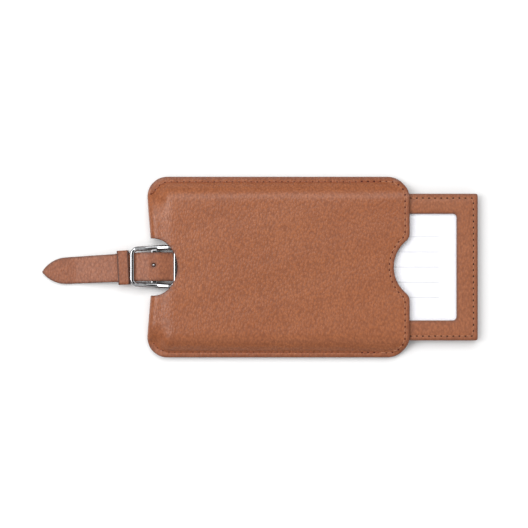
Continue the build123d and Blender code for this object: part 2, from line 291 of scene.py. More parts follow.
def sheet(solid, rings, thickness, radius, spacing, place, burnish=0.6, extra=None):
    """Adds a sheet of even thickness with rounded cut edges, laid by place(u, v, depth).

    rings holds the outline, then any holes, in the sheet's own flat plan.
    """
    rings = [turned(ring, hole=i > 0) for i, ring in enumerate(rings)]
    levels = edge_levels(thickness, radius)
    inner = [inset(ring, radius) for ring in rings]
    edge_points = np.vstack(inner)
    low, high = inner[0].min(0), inner[0].max(0)
    columns = np.arange(low[0], high[0], spacing)
    rows = np.arange(low[1], high[1], spacing)
    grid = np.stack(np.meshgrid(columns, rows, indexing="ij"), -1)
    grid[::2, :, 1] += spacing / 2
    grid = grid.reshape(-1, 2)
    if extra is not None:
        away = nearest(grid, extra) > spacing * 0.6
        grid = np.vstack((grid[away], extra))
    keep = is_inside(grid, inner[0])
    for hole in inner[1:]:
        keep &= ~is_inside(grid, hole)
    grid = grid[keep]
    gap = np.min([distance_to(grid, ring) for ring in inner], axis=0)
    grid, gap = grid[gap > spacing * 0.55], gap[gap > spacing * 0.55]
    flat = np.vstack((edge_points, grid))
    loops, start = [], 0
    for ring in inner:
        loops.append(np.arange(start, start + len(ring)))
        start += len(ring)
    borders = [(int(a), int(b)) for loop in loops for a, b in zip(loop, np.roll(loop, -1))]
    result = delaunay_2d_cdt(flat.tolist(), borders, [], 0, 1e-7)
    if len(result[0]) != len(flat):
        raise ValueError("the sheet's outline crosses itself")
    order = [indices[0] for indices in result[3]]
    triangles = np.array([[order[i] for i in face] for face in result[2]])
    middle = flat[triangles].mean(1)
    keep = is_inside(middle, inner[0])
    for hole in inner[1:]:
        keep &= ~is_inside(middle, hole)
    triangles = triangles[keep]

    edge_count, flat_count = len(edge_points), len(flat)
    mark = np.r_[np.full(edge_count, burnish), burnish * np.exp(-gap / 0.5)]
    sets = [np.column_stack((flat, np.zeros(flat_count)))]
    marks = [mark]
    for step, depth, level_mark in levels[1:-1]:
        ring_points = np.vstack([inset(ring, step) for ring in rings])
        sets.append(np.column_stack((ring_points, np.full(edge_count, depth))))
        marks.append(np.full(edge_count, max(level_mark, burnish)))
    sets.append(np.column_stack((flat, np.full(flat_count, thickness))))
    marks.append(mark)
    starts = np.cumsum([0] + [len(part) for part in sets])
    faces = [tuple(t) for t in triangles] + [tuple(t[::-1] + starts[-2]) for t in triangles]
    for level in range(len(sets) - 1):
        upper, lower = starts[level], starts[level + 1]
        for loop in loops:
            for a, b in zip(loop, np.roll(loop, -1)):
                faces.append((upper + b, upper + a, lower + a, lower + b))
    points = np.vstack(sets)
    solid.add(place(points[:, 0], points[:, 1], points[:, 2]), faces, np.concatenate(marks))


def section(width, height, radius, steps=4):
    """Closed section of a bar, rounded on all four corners."""
    half = np.array((width, height)) / 2
    return rounded_box(-half, half, radius, radius / steps)


def sweep(solid, path, across, up, profile, closed=False, scale=None, edge=0.0):
    """Adds a bar of constant section along a path of 3D points."""
    rows = len(path)
    scale = np.ones(rows) if scale is None else scale
    points = (
        path[:, None, :]
        + across[:, None, :] * (profile[:, 0] * scale[:, None])[:, :, None]
        + up[:, None, :] * (profile[:, 1] * scale[:, None])[:, :, None]
    )
    size = len(profile)
    faces = []
    for row in range(rows if closed else rows - 1):
        following = (row + 1) % rows
        for i in range(size):
            j = (i + 1) % size
            faces.append((row * size + i, row * size + j, following * size + j, following * size + i))
    if not closed:
        faces.append(tuple(range(size))[::-1])
        faces.append(tuple((rows - 1) * size + i for i in range(size)))
    solid.add(points.reshape(-1, 3), faces, edge)


# Materials
def srgb(red, green, blue):
    """Linear colour from 8-bit display values."""
    values = np.array((red, green, blue)) / 255
    linear = np.where(values <= 0.04045, values / 12.92, ((values + 0.055) / 1.055) ** 2.4)
    return (*linear.tolist(), 1.0)


class Finish:
    """A material whose nodes are added one by one."""

    def __init__(self, name):
        self.material = bpy.data.materials.new(name)
        self.material.use_nodes = True
        self.tree = self.material.node_tree
        self.shader = self.tree.nodes["Principled BSDF"]

    def node(self, kind, inputs=None, **settings):
        made = self.tree.nodes.new("ShaderNode" + kind)
        for key, value in settings.items():
            setattr(made, key, value)
        for key, value in (inputs or {}).items():
            self.put(made.inputs[key], value)
        return made

    def put(self, socket, value):
        if isinstance(value, bpy.types.NodeSocket):
            self.tree.links.new(value, socket)
        else:
            socket.default_value = value

    def set(self, **values):
        for key, value in values.items():
            self.put(self.shader.inputs[key.replace("_", " ")], value)

    def place(self, scale=(1, 1, 1), turn=0.0):
        """Texture coordinates in millimetres on the object."""
        source = self.node("TexCoord").outputs["Object"]
        stretched = tuple(1000 * s for s in scale)
        mapping = self.node("Mapping", {"Vector": source, "Scale": stretched, "Rotation": (0, 0, turn)})
        return mapping.outputs["Vector"]

    def noise(self, vector, scale, detail=3.0, roughness=0.55):
        values = {"Vector": vector, "Scale": scale, "Detail": detail, "Roughness": roughness}
        return self.node("TexNoise", values).outputs["Fac"]

    def colour_noise(self, vector, scale):
        return self.node("TexNoise", {"Vector": vector, "Scale": scale, "Detail": 2.0}).outputs["Color"]

    def cells(self, vector, scale, smoothness=0.6):
        values = {"Vector": vector, "Scale": scale, "Smoothness": smoothness}
        return self.node("TexVoronoi", values, feature="SMOOTH_F1").outputs["Distance"]

    def spread(self, value, low, high, out_low, out_high):
        """Maps a range of a value to another."""
        values = {0: value, 1: low, 2: high, 3: out_low, 4: out_high}
        return self.node("MapRange", values).outputs[0]

    def mix(self, share, first, second, how="MIX"):
        values = {0: share, 6: first, 7: second}
        return self.node("Mix", values, data_type="RGBA", blend_type=how).outputs[2]

    def bump(self, height, distance_mm, strength=1.0, under=None):
        values = {"Height": height, "Distance": distance_mm * MM, "Strength": strength}
        if under is not None:
            values["Normal"] = under
        return self.node("Bump", values).outputs["Normal"]

    def mark(self):
        return self.node("Attribute", attribute_name=EDGE).outputs["Fac"]


def leather(name, base, dark, light, edge_colour, roughness=0.5, grain=1.0):
    """Aniline leather: soft mottling, pebbled grain, darker burnished edges."""
    finish = Finish(name)
    place = finish.place()
    slanted = finish.place((1.0, 0.62, 1.0), 0.35)
    broad = finish.noise(place, 0.06, 2.0)
    mottle = finish.noise(slanted, 1.3, 3.0, 0.6)
    fine = finish.noise(place, 3.4, 2.0, 0.6)
    drift = finish.node("Mix", {0: 0.16, 4: slanted, 5: finish.colour_noise(place, 0.9)}, data_type="VECTOR")
    pebbles = finish.cells(drift.outputs[1], 1.5, 0.3)
    colour = finish.mix(finish.spread(broad, 0.3, 0.7, 0.0, 0.35), base, light)
    colour = finish.mix(finish.spread(mottle, 0.4, 0.62, 0.0, 0.45), colour, dark)
    colour = finish.mix(finish.spread(pebbles, 0.35, 0.75, 0.0, 0.5), colour, dark)
    colour = finish.mix(finish.spread(fine, 0.52, 0.72, 0.0, 0.4), colour, light)
    colour = finish.mix(finish.spread(finish.mark(), 0.1, 1.0, 0.0, 0.9), colour, edge_colour)
    dents = finish.bump(mottle, 0.08 * grain, 0.7)
    relief = finish.bump(finish.spread(pebbles, 0.0, 0.8, 1.0, 0.0), 0.09 * grain, 0.8, dents)
    relief = finish.bump(fine, 0.02 * grain, 0.7, relief)
    gloss = finish.spread(mottle, 0.3, 0.7, roughness - 0.06, roughness + 0.08)
    finish.set(Base_Color=colour, Normal=relief, Roughness=gloss, Specular_IOR_Level=0.42)
    return finish.material


def thread_finish(name, base, dark):
    """Waxed twisted thread."""
    finish = Finish(name)
    place = finish.place((1.0, 1.0, 1.0), 0.6)
    twist = finish.node("TexWave", {"Vector": place, "Scale": 0.9, "Distortion": 1.5, "Detail": 1.0})
    strands = twist.outputs["Fac"]
    fuzz = finish.noise(place, 7.0, 2.0)
    colour = finish.mix(finish.spread(strands, 0.1, 0.9, 0.0, 0.7), base, dark)
    colour = finish.mix(finish.spread(fuzz, 0.4, 0.7, 0.0, 0.3), colour, dark)
    normal = finish.bump(strands, 0.05, 0.6)
    gloss = finish.spread(fuzz, 0.3, 0.7, 0.5, 0.75)
    finish.set(Base_Color=colour, Normal=normal, Roughness=gloss, Specular_IOR_Level=0.2)
    return finish.material


def cloth_finish(name, base, dark):
    """Plain woven lining."""
    finish = Finish(name)
    warp = finish.node("TexWave", {"Vector": finish.place(), "Scale": 0.9, "Distortion": 0.3})
    weft = finish.node("TexWave", {"Vector": finish.place(turn=math.pi / 2), "Scale": 0.9, "Distortion": 0.3})
    weave = finish.mix(0.5, warp.outputs["Color"], weft.outputs["Color"])
    patch = finish.noise(finish.place(), 0.4, 2.0)
    colour = finish.mix(finish.spread(weave, 0.2, 0.8, 0.0, 0.8), dark, base)
    colour = finish.mix(finish.spread(patch, 0.4, 0.7, 0.0, 0.2), colour, dark)
    gloss = finish.spread(patch, 0.3, 0.7, 0.75, 0.9)
    finish.set(Base_Color=colour, Normal=finish.bump(weave, 0.06, 0.7), Roughness=gloss)
    return finish.material


def paper_finish(name, base, dark, roughness):
    """Board or card with a faint fibre."""
    finish = Finish(name)
    fibre = finish.noise(finish.place((1.0, 0.35, 1.0)), 2.2, 4.0, 0.6)
    colour = finish.mix(finish.spread(fibre, 0.4, 0.75, 0.0, 1.0), base, dark)
    gloss = finish.spread(fibre, 0.3, 0.7, roughness - 0.05, roughness + 0.06)
    finish.set(Base_Color=colour, Normal=finish.bump(fibre, 0.01, 0.4), Roughness=gloss)
    return finish


LINE_PITCH = 6.35
LINE_RIGHT = 67.5


def card_finish():
    """White card with five fine ruled lines."""
    finish = paper_finish("card_paper", srgb(252, 252, 252), srgb(240, 240, 242), 0.5)
    colour = finish.shader.inputs["Base Color"].links[0].from_socket
    split = finish.node("SeparateXYZ", {"Vector": finish.place()})
    x, y = split.outputs["X"], split.outputs["Y"]
    folded = finish.node("Math", {0: y, 1: LINE_PITCH / 2}, operation="PINGPONG").outputs[0]
    line = finish.spread(folded, 0.1, 0.2, 1.0, 0.0)
    reach = finish.spread(x, LINE_RIGHT, LINE_RIGHT + 0.2, 1.0, 0.0)
    size = finish.node("Math", {0: y}, operation="ABSOLUTE").outputs[0]
    band = finish.spread(size, 2.5 * LINE_PITCH, 2.5 * LINE_PITCH + 0.1, 1.0, 0.0)
    ink = finish.node("Math", {0: line, 1: reach}, operation="MULTIPLY").outputs[0]
    ink = finish.node("Math", {0: ink, 1: band}, operation="MULTIPLY").outputs[0]
    finish.set(Base_Color=finish.mix(ink, colour, srgb(208, 208, 210)))
    return finish.material


def film_finish():
    """Clear plastic film, seen by its gloss and faint haze."""
    finish = Finish("clear_film")
    haze = finish.noise(finish.place(), 0.05, 2.0)
    gloss = finish.spread(haze, 0.3, 0.7, 0.06, 0.12)
    finish.set(Base_Color=srgb(236, 236, 246), Roughness=gloss, Alpha=0.12)
    finish.set(Normal=finish.bump(haze, 0.15, 0.3))
    return finish.material


def metal_finish(name, base, tarnish, roughness):
    """Polished plated metal with faint wear."""
    finish = Finish(name)
    wear = finish.noise(finish.place(), 1.1, 4.0, 0.6)
    scratches = finish.noise(finish.place((0.25, 2.2, 1.0), 0.3), 2.4, 3.0)
    colour = finish.mix(finish.spread(wear, 0.5, 0.8, 0.0, 0.5), base, tarnish)
    gloss = finish.spread(scratches, 0.35, 0.7, roughness, roughness + 0.09)
    finish.set(Base_Color=colour, Metallic=1.0, Roughness=gloss)
    finish.set(Normal=finish.bump(scratches, 0.004, 0.4))
    return finish.material


tan = leather(
    "pocket_leather", srgb(153, 88, 52), srgb(112, 59, 33), srgb(174, 108, 69), srgb(84, 40, 24), 0.37
)
insert_tan = leather(
    "holder_leather", srgb(153, 90, 55), srgb(114, 62, 36), srgb(174, 110, 74), srgb(84, 42, 26), 0.45
)
strap_tan = leather(
    "strap_leather_finish", srgb(148, 87, 56), srgb(108, 58, 36), srgb(170, 108, 76), srgb(62, 30, 20), 0.45
)
backing = leather(
    "strap_backing_finish", srgb(140, 90, 62), srgb(112, 68, 46), srgb(156, 104, 78), srgb(76, 44, 32), 0.7
)
brown_thread = thread_finish("brown_thread", srgb(160, 92, 62), srgb(104, 54, 36))
pale_thread = thread_finish("pale_thread", srgb(186, 128, 96), srgb(128, 76, 52))
# Dark discs set in the needle holes: painted shade that stands for the shadow inside each hole
needle_hole_shade = thread_finish("needle_hole_shade", srgb(46, 16, 10), srgb(24, 8, 6))
seam_hole_shade = thread_finish("seam_hole_shade", srgb(92, 36, 22), srgb(52, 20, 12))
lining_cloth = cloth_finish("pocket_lining", srgb(126, 92, 72), srgb(84, 58, 44))
board_finish = paper_finish("stiff_board", srgb(196, 188, 176), srgb(170, 160, 148), 0.8).material
card_paper = card_finish()
clear_film = film_finish()
chrome = metal_finish("polished_metal_finish", srgb(176, 176, 178), srgb(96, 96, 98), 0.06)
steel = metal_finish("staple_metal", srgb(186, 186, 188), srgb(140, 138, 136), 0.22)


# Pocket: one piece of leather folded at its left end and stitched round its edges
def mirrored(line):
    """The line followed by its mirror image across the tag's long axis."""
    return join(line, (line * (1, -1))[::-1])


def pocket_plan():
    """One panel's outline from the fold round the mouth and back to the fold."""
    run = CORNER_RADIUS * math.tan(math.radians(22.5))
    low_centre = (FOLD_X + CORNER_RADIUS, HALF_Y - CORNER_CUT - run)
    high_centre = (FOLD_X + CORNER_CUT + run, HALF_Y - CORNER_RADIUS)
    thumb_x = MOUTH_X - THUMB_DEPTH + THUMB_RADIUS
    blend_x = MOUTH_X - THUMB_BLEND
    blend_y = math.sqrt((THUMB_RADIUS + THUMB_BLEND) ** 2 - (thumb_x - blend_x) ** 2)
    meet = math.degrees(math.atan2(blend_y, thumb_x - blend_x))
    return divide(
        mirrored(
            join(
                arc(low_centre, CORNER_RADIUS, 180, 135),
                arc(high_centre, CORNER_RADIUS, 135, 90),
                arc((MOUTH_X - MOUTH_CORNER, HALF_Y - MOUTH_CORNER), MOUTH_CORNER, 90, 0),
                arc((blend_x, blend_y), THUMB_BLEND, 0, -meet),
                arc((thumb_x, 0), THUMB_RADIUS, 180 - meet, 180),
            )
        ),
        1.0,
    )


panel_plan = pocket_plan()
seam_line = {
    1: [(-58.0, 25.6), (-54.2, 29.6), (-51.4, 32.6), (-49.2, 34.8), (-47.0, 35.7), (90.0, 35.7)],
    -1: [(-57.0, 29.6), (-52.2, 32.0), (-50.4, 34.3), (-46.7, 35.7), (-44.0, 35.7), (90.0, 35.7)],
}
seam_line = {side: rounded(line, [3.0] * len(line)) for side, line in seam_line.items()}


def pinch(x, y):
    """0 on the stitched flange and 1 on the full height of the pocket."""
    points = np.column_stack((x, np.abs(y)))
    result = np.zeros(len(points))
    for side, line in seam_line.items():
        chosen = (y >= 0) if side == 1 else (y < 0)
        if chosen.any():
            apart = distance_to(points[chosen], line, closed=False)
            region = join(line, (90.0, -5.0), (-58.0, -5.0))
            apart = np.where(is_inside(points[chosen], region), apart, 0)
            result[chosen] = 1 - (1 - np.clip(apart / PINCH_RUN, 0, 1)) ** 2.0
    return result


def open_height(x, y):
    """Height of the pocket's top face, away from the fold."""
    share = np.clip((x - FOLD_X) / (MOUTH_X - FOLD_X), 0, 1)
    full = FOLD_HEIGHT + (MOUTH_HEIGHT - FOLD_HEIGHT) * share
    waves = 0.05 * np.sin(0.21 * x + 0.13 * y) + 0.04 * np.sin(0.37 * y - 0.11 * x + 1.3)
    return SEAM_HEIGHT + (full + waves - SEAM_HEIGHT) * pinch(x, y)


def fold_radius(y):
    """Radius of the rounded fold at each point of its length."""
    return open_height(np.full(len(y), FOLD_X + 2.0), y) / 2 * FOLD_SHARE


def top_height(x, y):
    """Height of the pocket's top face, led smoothly into the fold."""
    radius = fold_radius(y)
    share = smooth((x - FOLD_X - radius) / FOLD_RUN)
    return 2 * radius + (open_height(x, y) - 2 * radius) * share


def unroll(plan, side):
    """Plan points of the top (1) or bottom (-1) panel on the flat sheet, opened about the fold."""
    x, y = plan.T
    radius = fold_radius(y)
    reach = np.maximum(x - FOLD_X, 0)
    angle = np.arccos(np.clip(1 - reach / radius, -1, 1))
    along = np.where(reach < radius, HALF_ARC * angle / (math.pi / 2), HALF_ARC + reach - radius)
    return np.column_stack((side * along, y))


def lean(x, y):
    """The fold's edge leans in towards the strap's notch."""
    amount = LEAN_SLOPE * np.clip(LEAN_START - np.abs(y), 0, LEAN_SPAN)
    return x + amount * (1 - smooth((x - FOLD_X) / LEAN_RUN))


def fold_sheet(u, v, depth):
    """Lays the flat sheet as the folded pocket. depth counts inwards from its outer face."""
    radius = fold_radius(v)
    turn = np.clip(np.abs(u) / HALF_ARC, 0, 1) * math.pi / 2
    beyond = np.maximum(np.abs(u) - HALF_ARC, 0)
    inner = np.maximum(radius - depth, 0.03)
    x = FOLD_X + radius - inner * np.cos(turn) + beyond
    bend_z = radius + np.sign(u) * inner * np.sin(turn)
    dent = GROOVE_DEPTH * np.exp(-((groove_gap(x, v) / GROOVE_WIDTH) ** 2)) * np.clip(1 - depth / 0.5, 0, 1)
    top = top_height(x, v)
    slope = (top_height(x, v + 0.05) - top_height(x, v - 0.05)) / 0.1
    drop = depth * np.minimum(np.sqrt(1 + slope ** 2), 1.22)
    flat_z = np.where(u > 0, top - np.minimum(drop, top - SEAM_HEIGHT / 2 - 0.03) - dent, depth + dent)
    z = np.where(np.abs(u) < HALF_ARC, bend_z, flat_z)
    return np.column_stack((lean(x, v), v, z))


def trimmed(line, keep):
    """The longest run of a line's points that pass a test."""
    marks = np.flatnonzero(np.diff(np.r_[0, keep.astype(int), 0]))
    runs = marks.reshape(-1, 2)
    first, last = max(runs, key=lambda run: run[1] - run[0])
    return line[first:last]


seam_offset = inset(panel_plan, -MOUTH_INSET, closed=False)
mouth_path = trimmed(seam_offset, seam_offset[:, 0] > SEAM_END_X)
side_paths = {}
for side, line in seam_line.items():
    start_x = -53.3 if side == 1 else -52.3
    run = join(line[line[:, 0] < SEAM_END_X], (SEAM_END_X, line[-1, 1]))
    run = divide(run, 0.5)
    side_paths[side] = run[run[:, 0] > start_x] * (1, side)
stitch_lines = [mouth_path, side_paths[1], side_paths[-1]]


def groove_gap(x, y):
    """Distance from the nearest stitch row of the pocket."""
    points = np.column_stack((x, y))
    return np.min([distance_to(points, line, closed=False) for line in stitch_lines], axis=0)


def on_top(x, y, side=1):
    """Points on the pocket's top or bottom face."""
    flat = unroll(np.column_stack((x, y)), side)
    return fold_sheet(flat[:, 0], flat[:, 1], np.zeros(len(flat)))


notch_plan = arc((NOTCH_X, 0), NOTCH_RADIUS, 94.7, -94.7, 0.8)
pocket_ring = join(unroll(panel_plan, 1), unroll(panel_plan[::-1], -1))[:-1]
notch_ring = join(unroll(notch_plan, 1), unroll(notch_plan[::-1], -1))[:-1]
groove_rows = np.vstack(
    [
        unroll(inset(divide(line, 1.0), shift, closed=False), side)
        for line in stitch_lines
        for side in (1, -1)
        for shift in (-0.5, 0.0, 0.5)
    ]
)

pocket = Solid()
sheet(pocket, [pocket_ring, notch_ring], LEATHER, 0.32, 1.15, fold_sheet, extra=groove_rows)
pocket.piece("sleeve_leather", tan, "sleeve", "sleeve_leather", "sleeve_shell")


# Pocket lining: a thin cloth under each panel
def lining_ring():
    """Plan of one lining panel, short of the fold, the seams and the mouth."""
    mouth = inset(panel_plan, -LINING_MARGIN, closed=False)
    mouth = trimmed(mouth, (mouth[:, 0] > SEAM_END_X) & (np.abs(mouth[:, 1]) < LINING_HALF))
    notch = arc((NOTCH_X, 0), NOTCH_RADIUS + LINING_MARGIN, -60, 60, 0.8)
    start_x = NOTCH_X + LINING_START
    line = join(mouth, (start_x, -LINING_HALF), notch, (start_x, LINING_HALF))
    return divide(line[::-1], 1.2, closed=True)


lining_plan = lining_ring()


def lining_place(side):
    """Lays a lining panel against the inner face of the top (1) or bottom (-1) leather."""

    def place(x, y, depth):
        flat = unroll(np.column_stack((x, y)), side)
        return fold_sheet(flat[:, 0], flat[:, 1], LEATHER + 0.02 + depth)

    return place


for side, name in ((1, "sleeve_front_lining"), (-1, "sleeve_back_lining")):
    lining_panel = Solid()
    sheet(lining_panel, [lining_plan], LINING, 0.08, 2.5, lining_place(side), burnish=0.0)
    lining_panel.piece(name + "_cloth", lining_cloth, "sleeve", "lining", name)


# Stitching
ROUND = np.radians(np.arange(0, 360, 45))
# Size of the dark discs painted as the shade inside each needle hole
HOLE_SHADE = (0.5, 0.42)


def stitch(threads, holes, start, end, up, width=0.27, rise=0.16, sink=0.3):
    """Adds one stitch that arches between two needle holes, and at its start a dark disc of painted shade for
    the shadow inside the hole.
    """
    along = end - start
    length = np.linalg.norm(along)
    along = along / length
    across = np.cross(up, along)
    across = across / np.linalg.norm(across)
    steps = np.linspace(0, 1, 9)
    bow = 1 - np.abs(2 * steps - 1) ** 3.0
    span = 0.1 + 0.8 * steps
    path = start + np.outer(span * length, along) + np.outer(-sink + (rise + sink) * bow, up)
    slope = np.gradient(path, axis=0)
    slope /= np.linalg.norm(slope, axis=1)[:, None]
    lift = np.cross(slope, across)
    ring = np.column_stack((np.cos(ROUND) * width, np.sin(ROUND) * width * 0.72))
    scale = 0.55 + 0.45 * np.sqrt(np.clip(bow, 0, 1))
    sweep(threads, path, np.tile(across, (9, 1)), lift, ring, scale=scale)
    rows = []
    for tilt in (-0.9, -0.45, 0.0, 0.45, 0.9):
        size = math.sqrt(1 - tilt ** 2)
        spot = start + tilt * 0.1 * up
        rows.append(
            spot
            + np.outer(np.cos(ROUND) * HOLE_SHADE[0] * size, along)
            + np.outer(np.sin(ROUND) * HOLE_SHADE[1] * size, across)
        )
    count = len(ROUND)
    faces = [tuple(range(count)), tuple(4 * count + i for i in range(count))]
    for row in range(4):
        for i in range(count):
            j = (i + 1) % count
            faces.append((row * count + i, row * count + j, (row + 1) * count + j, (row + 1) * count + i))
    holes.add(np.vstack(rows), faces)


def spaced(line, pitch):
    """Points at an even pitch along a plan line."""
    steps = np.r_[0, np.cumsum(np.hypot(*np.diff(line, axis=0).T))]
    count = int(round(steps[-1] / pitch))
    places = np.linspace(0, steps[-1], count + 1)
    return np.column_stack([np.interp(places, steps, line[:, i]) for i in (0, 1)])


def stitch_row(threads, holes, plan_points, place, up_sign, slant=0.1):
    """Adds stitches along plan points laid on a face."""
    lifted = place(plan_points)
    along = np.gradient(lifted, axis=0)
    for i in range(len(lifted) - 1):
        flat_side = np.array((-along[i][1], along[i][0], 0.0))
        flat_side /= np.linalg.norm(flat_side)
        up = np.cross(along[i], flat_side)
        up = up / np.linalg.norm(up) * up_sign
        if up[2] * up_sign < 0:
            up = -up
        jitter = random.uniform(-0.04, 0.04)
        shift = (slant + jitter) * flat_side
        stitch(threads, holes, lifted[i] + shift, lifted[i + 1] - shift, up)


def top_face(points):
    return on_top(points[:, 0], points[:, 1])


def bottom_face(points):
    """Laid low in the underside's groove, clear of the table."""
    laid = on_top(points[:, 0], points[:, 1], -1)
    laid[:, 2] += 0.2
    return laid


pocket_hole_shade = Solid()
for side, name in ((1, "top_seam_thread"), (-1, "bottom_seam_thread")):
    threads = Solid()
    row = spaced(side_paths[side], PITCH)
    stitch_row(threads, pocket_hole_shade, row, top_face, 1)
    tack = row[-4:] + (0.0, side * 0.3)
    stitch_row(threads, pocket_hole_shade, tack, top_face, 1)
    under = row[row[:, 0] > FOLD_X + FOLD_HEIGHT / 2]
    stitch_row(threads, pocket_hole_shade, under, bottom_face, -1)
    threads.piece(name + "_stitches", brown_thread, "sleeve", "thread", name)

mouth_row = spaced(mouth_path, PITCH)
for name, face, up in (("mouth_front_thread", top_face, 1), ("mouth_back_thread", bottom_face, -1)):
    threads = Solid()
    stitch_row(threads, pocket_hole_shade, mouth_row, face, up, slant=0.2)
    threads.piece(name + "_stitches", pale_thread, "sleeve", "thread", name)
# The pocket's needle holes as dark discs of painted shade
pocket_hole_shade.piece("sleeve_needle_hole_shade", seam_hole_shade, "sleeve", "thread")


# Card holder
INSERT_LEFT = front_low[0]
INSERT_RIGHT, INSERT_HALF = front_high[0], front_high[1]
TOP_Z, BACK_Z = front_high[2], back_low[2]
FRONT_BASE = film_high[2]
BACK_TOP = front_low[2]
window_low = film_low[:2] + WINDOW_MARGIN
window_high = film_high[:2] - WINDOW_MARGIN
holder_plan = divide(
    rounded_box((INSERT_LEFT, -INSERT_HALF), (INSERT_RIGHT, INSERT_HALF), 1.0, 0.25), 1.2, closed=True
)
window_plan = divide(rounded_box(window_low, window_high, 1.5, 0.4), 1.2, closed=True)
holder_row = divide(
    rounded(
        [
            (INSERT_LEFT + 2.5, INSERT_HALF - INSERT_INSET),
            (INSERT_RIGHT - INSERT_INSET, INSERT_HALF - INSERT_INSET),
            (INSERT_RIGHT - INSERT_INSET, INSERT_INSET - INSERT_HALF),
            (INSERT_LEFT + 2.5, INSERT_INSET - INSERT_HALF),
        ],
        [0, 0.6, 0.6, 0],
        0.3,
    ),
    0.6,
)


def holder_top(x, y, depth):
    """The front leather swells a little between its stitched rim and the window."""
    points = np.column_stack((x, y))
    rim_gap = np.minimum(INSERT_RIGHT - x, INSERT_HALF - np.abs(y))
    window_gap = distance_to(points, window_plan)
    row_gap = distance_to(points, holder_row, closed=False)
    dent = HOLDER_GROOVE[0] * np.exp(-((row_gap / HOLDER_GROOVE[2]) ** 2))
    fall = 0.22 * (1 - smooth(rim_gap / 1.6)) + 0.1 * (1 - smooth(window_gap / 1.3))
    z = TOP_Z - (fall + dent) * np.clip(1 - depth / 0.6, 0, 1) - depth
    return np.column_stack((x, y, z))


holder_grooves = np.vstack(
    [inset(divide(holder_row, 1.0), shift, closed=False) for shift in (-0.45, 0.0, 0.45)]
)
holder_front = Solid()
sheet(
    holder_front,
    [holder_plan, window_plan],
    TOP_Z - FRONT_BASE,
    0.26,
    1.1,
    holder_top,
    extra=holder_grooves,
)


def flat_at(top):
    """Places a flat sheet with its top face at one height."""

    def place(x, y, depth):
        return np.column_stack((x, y, np.full(len(x), top) - depth))

    return place


rim_plan = divide(
    join(
        [(INSERT_LEFT, INSERT_HALF - RIM), (INSERT_LEFT, INSERT_HALF - RIM_STEP)],
        [(INSERT_RIGHT - RIM_STEP, INSERT_HALF - RIM_STEP)],
        [(INSERT_RIGHT - RIM_STEP, RIM_STEP - INSERT_HALF)],
        [(INSERT_LEFT, RIM_STEP - INSERT_HALF), (INSERT_LEFT, RIM - INSERT_HALF)],
        [(INSERT_RIGHT - RIM, RIM - INSERT_HALF), (INSERT_RIGHT - RIM, INSERT_HALF - RIM)],
    ),
    1.6,
    closed=True,
)
sheet(
    holder_front,
    [rim_plan],
    FRONT_BASE - BACK_TOP - 2 * PLY_GAP,
    RIM_RADIUS,
    1.2,
    flat_at(FRONT_BASE - PLY_GAP),
    burnish=1.0,
)
holder_front.piece("holder_front_leather", insert_tan, "card_holder", "insert_leather", "insert_front")

back_plan = divide(
    rounded(
        [
            (INSERT_RIGHT, INSERT_HALF),
            (INSERT_LEFT, INSERT_HALF),
            (INSERT_LEFT, TAB_HALF),
            (back_low[0], TAB_HALF),
            (back_low[0], -TAB_HALF),
            (INSERT_LEFT, -TAB_HALF),
            (INSERT_LEFT, -INSERT_HALF),
            (INSERT_RIGHT, -INSERT_HALF),
        ],
        [1.0, 0.8, 0, TAB_CORNER, TAB_CORNER, 0, 0.8, 1.0],
        0.3,
        closed=True,
    ),
    1.2,
    closed=True,
)
slot_plan = divide(
    rounded_box((SLOT[0], STRAP_Y - SLOT_HALF), (SLOT[1], STRAP_Y + SLOT_HALF), 0.6, 0.3), 1.0, closed=True
)


def back_place(x, y, depth):
    """The back leather, with its tab stepped up to the height of the strap's loop."""
    lift = TAB_LIFT * smooth((TAB_RAMP[0] - x) / (TAB_RAMP[0] - TAB_RAMP[1]))
    row_gap = distance_to(np.column_stack((x, y)), holder_row, closed=False)
    dent = HOLDER_GROOVE[1] * np.exp(-((row_gap / HOLDER_GROOVE[2]) ** 2))
    z = BACK_TOP - PLY_GAP + lift - depth + dent * np.clip(depth / 0.6 - 0.3, 0, 1)
    return np.column_stack((x, y, z))


holder_back = Solid()
back_thickness = BACK_TOP - BACK_Z - PLY_GAP
sheet(holder_back, [back_plan, slot_plan], back_thickness, 0.24, 1.2, back_place, extra=holder_grooves)
holder_back.piece("holder_back_leather", insert_tan, "card_holder", "insert_leather", "insert_back")

holder_threads, holder_hole_shade = Solid(), Solid()
holder_points = spaced(holder_row, PITCH)


def holder_face(points):
    return holder_top(points[:, 0], points[:, 1], np.zeros(len(points)))


def holder_under(points):
    """Laid slightly into the underside's groove."""
    laid = back_place(points[:, 0], points[:, 1], np.full(len(points), back_thickness))
    laid[:, 2] += 0.06
    return laid


stitch_row(holder_threads, holder_hole_shade, holder_points, holder_face, 1, slant=0.12)
stitch_row(holder_threads, holder_hole_shade, holder_points, holder_under, -1, slant=0.12)
holder_threads.piece("holder_stitches", pale_thread, "card_holder", "thread", "insert_seam_thread")
# The holder's needle holes as dark discs of painted shade
holder_hole_shade.piece("holder_needle_hole_shade", needle_hole_shade, "card_holder", "thread")


# Card, film, board and inner lining keep their frame shapes
def dress(node, material):
    """Gives a frame node its material."""
    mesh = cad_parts[node].data
    mesh.materials.clear()
    mesh.materials.append(material)


dress("id_card", card_paper)
dress("window_film", clear_film)
dress("insert_stiffener", board_finish)
dress("insert_lining", lining_cloth)
dress("buckle_peg", chrome)
dress("keeper_staple", steel)


# Strap: leather outside and backing inside, looped through the tab
LEG_Z = 1.7
LEG_GAP = 0.1
LEGS = 2 * (STRAP_LEATHER + STRAP_BACKING) + LEG_GAP
BAR_LEFT, BAR_RIGHT = -60.1, -43.9
CROWN = 2.6
CROWN_START = 0.9
RISE = 1.5
TIP_REACH = strap_low[0]


